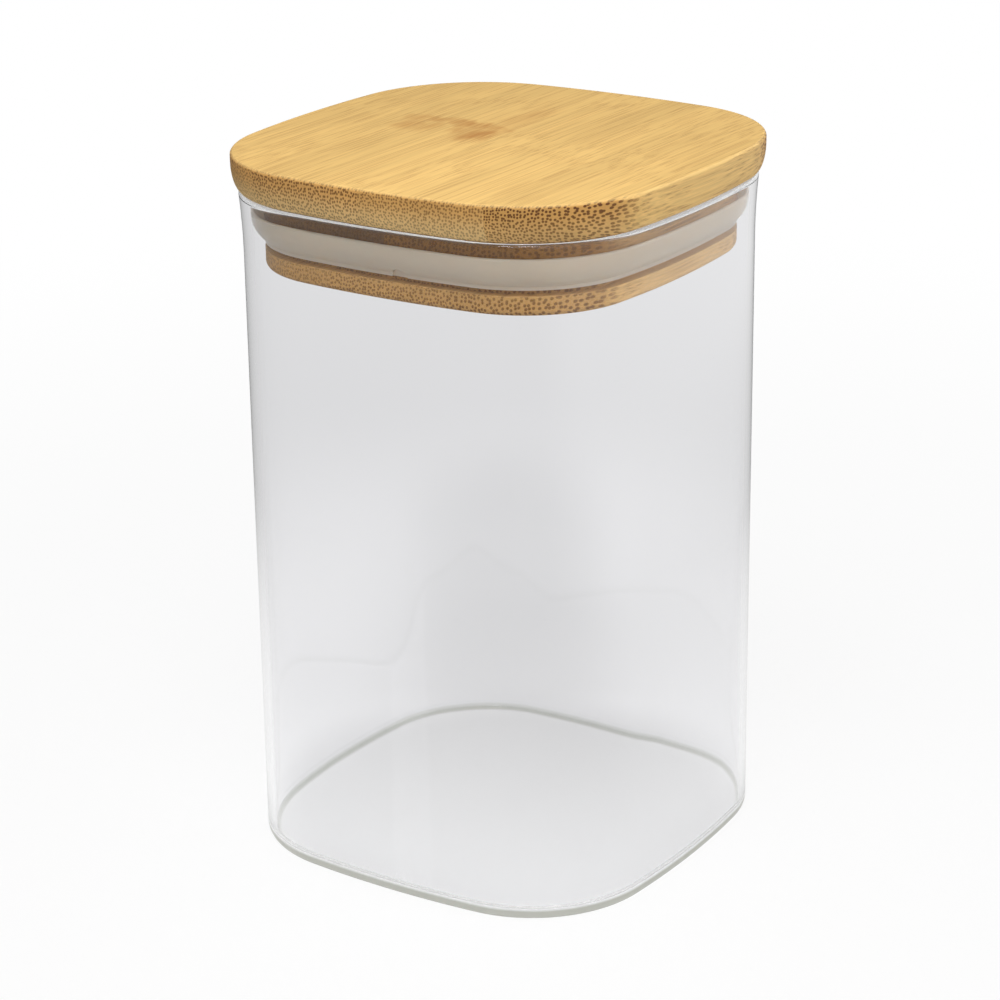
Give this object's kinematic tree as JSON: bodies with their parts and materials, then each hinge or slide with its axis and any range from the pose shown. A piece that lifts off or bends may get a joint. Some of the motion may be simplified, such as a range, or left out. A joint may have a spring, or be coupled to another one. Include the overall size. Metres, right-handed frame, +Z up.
{
  "type": "spice jar",
  "caption": "Square clear-glass jar with rounded corners and a push-in bamboo lid, glued up from strips, sealed by a flared silicone lip ring.",
  "frame": {"origin": "centre of the jar's foot, on the surface that it stands on", "axes": "+Z up through the lid; +X across the bamboo's grain; +Y along the grain. The -Y side shows the board's end grain, and the +X side its long grain"},
  "size_m": [0.0678, 0.0678, 0.1055],
  "materials": {
    "glass": "clear, thin-walled borosilicate glass with a fire-polished rim",
    "bamboo_board": "satin-oiled caramel bamboo, grain along Y, end grain on the -Y and +Y edges",
    "bamboo_plug": "sanded bamboo, a little duller than the board",
    "silicone": "milky translucent food-grade silicone"
  },
  "bodies": {
    "jar": {"glass_jar": "glass"},
    "lid": {"board_strip_1": "bamboo_board", "board_strip_2": "bamboo_board", "board_strip_3": "bamboo_board", "board_strip_4": "bamboo_board", "upper_plug_strip_1": "bamboo_plug", "upper_plug_strip_2": "bamboo_plug", "upper_plug_strip_3": "bamboo_plug", "upper_plug_strip_4": "bamboo_plug", "lower_plug_strip_1": "bamboo_plug", "lower_plug_strip_2": "bamboo_plug", "lower_plug_strip_3": "bamboo_plug", "seal_ring": "silicone"}
  },
  "joints": [
    {"name": "lid_lift", "type": "slide", "parent": "jar", "child": "lid", "axis": [0, 0, 1], "range_m": [0, 0.08]}
  ]
}
